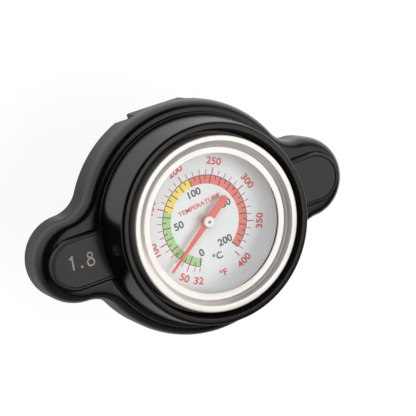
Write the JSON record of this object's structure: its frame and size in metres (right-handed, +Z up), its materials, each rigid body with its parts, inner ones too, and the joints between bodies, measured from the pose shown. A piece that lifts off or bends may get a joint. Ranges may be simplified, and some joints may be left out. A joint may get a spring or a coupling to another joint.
{
  "type": "radiator cap gauge",
  "caption": "Black two-eared bayonet radiator cap with a dial thermometer in its crown, a dip probe and sprung pressure and vacuum valves below.",
  "frame": {"origin": "on the cap's axis, in the plane where the upper gasket meets the filler neck", "axes": "+Z up through the dial, +X along the ears towards the plain ear, +Y towards the top of the dial"},
  "size_m": [0.065, 0.045, 0.039],
  "materials": {
    "black_paint": "gloss black paint on die-cast aluminium",
    "polished_bezel": "polished stainless bezel",
    "pressed_steel": "pressed stainless sheet",
    "case_steel": "drawn steel",
    "spring_steel": "spring wire",
    "brass": "turned and pressed brass",
    "bimetal": "bimetal strip",
    "lens": "clear flat glass",
    "dial_white": "satin white enamel with printed scales",
    "white_plastic": "satin white",
    "pointer_red": "red paint on aluminium",
    "hub_silver": "turned aluminium",
    "black_rubber": "moulded nitrile rubber"
  },
  "bodies": {
    "cap": {"cap_shell": "black_paint", "bayonet_cup": "pressed_steel", "centre_sleeve": "brass", "gauge_case": "case_steel", "bezel_ring": "polished_bezel", "lens_glass": "lens", "lens_gasket": "black_rubber", "reflector_ring": "white_plastic", "dial_plate": "dial_white", "gauge_o_ring": "black_rubber", "arbor_bush": "brass", "probe_tube": "pressed_steel", "probe_tip": "pressed_steel", "bimetal_coil": "bimetal"},
    "pointer": {"pointer_arbor": "case_steel", "pointer_needle": "pointer_red", "pointer_cap": "hub_silver"},
    "valve_carrier": {"spring_disc": "spring_steel", "upper_gasket": "black_rubber", "spring_seat": "pressed_steel", "pressure_spring": "spring_steel"},
    "pressure_valve": {"valve_bell": "pressed_steel", "pressure_plate": "pressed_steel", "pressure_seal": "black_rubber", "seal_eyelet": "brass", "vacuum_spring": "spring_steel"},
    "vacuum_valve": {"vacuum_disc": "brass", "vacuum_clip": "spring_steel"}
  },
  "joints": [
    {"name": "pointer_spin", "type": "hinge", "parent": "cap", "child": "pointer", "pos_m": [0, 0, 0.0064], "axis": [0, 0, 1], "range_deg": [-269.7, 31.5]},
    {"name": "valve_swivel", "type": "hinge", "parent": "cap", "child": "valve_carrier", "pos_m": [0, 0, 0], "axis": [0, 0, 1], "continuous": true},
    {"name": "pressure_lift", "type": "slide", "parent": "valve_carrier", "child": "pressure_valve", "axis": [0, 0, 1], "range_m": [0, 0.0025], "stiffness_N_per_m": 800, "springref_m": -0.0005, "deforming": ["pressure_spring"]},
    {"name": "vacuum_drop", "type": "slide", "parent": "pressure_valve", "child": "vacuum_valve", "axis": [0, 0, -1], "range_m": [0, 0.0015], "stiffness_N_per_m": 100, "springref_m": -0.001, "deforming": ["vacuum_spring"]}
  ]
}
